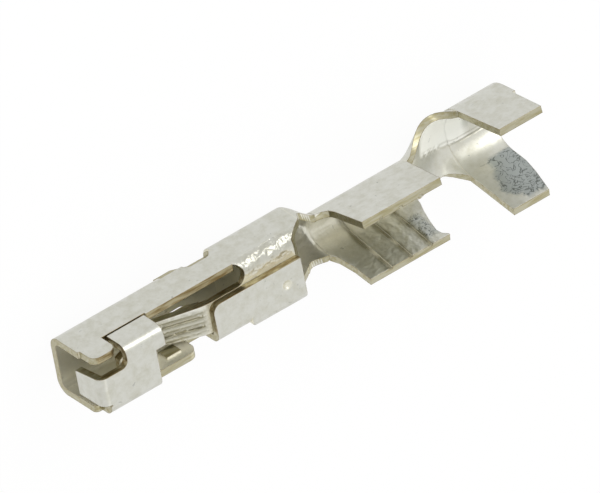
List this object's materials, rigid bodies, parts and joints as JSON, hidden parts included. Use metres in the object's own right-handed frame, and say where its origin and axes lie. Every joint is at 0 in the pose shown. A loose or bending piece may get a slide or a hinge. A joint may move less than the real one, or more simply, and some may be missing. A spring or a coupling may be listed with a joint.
{
  "type": "crimp socket contact",
  "caption": "Folded sheet-metal crimp socket contact with a boxed mouth, an inner contact spring, an open wire barrel and an open insulation barrel.",
  "frame": {"origin": "centre of the mouth, on the axis of the square post that the mouth takes", "axes": "+X from the mouth to the wire end, +Z towards the open side of the two crimp barrels, +Y towards the slotted side wall"},
  "size_m": [0.014, 0.0026, 0.0028],
  "materials": {
    "tinned_strip": "matte tin plating over copper alloy, bare on the sheared edges"
  },
  "bodies": {
    "root": {"contact": "tinned_strip"}
  },
  "joints": []
}
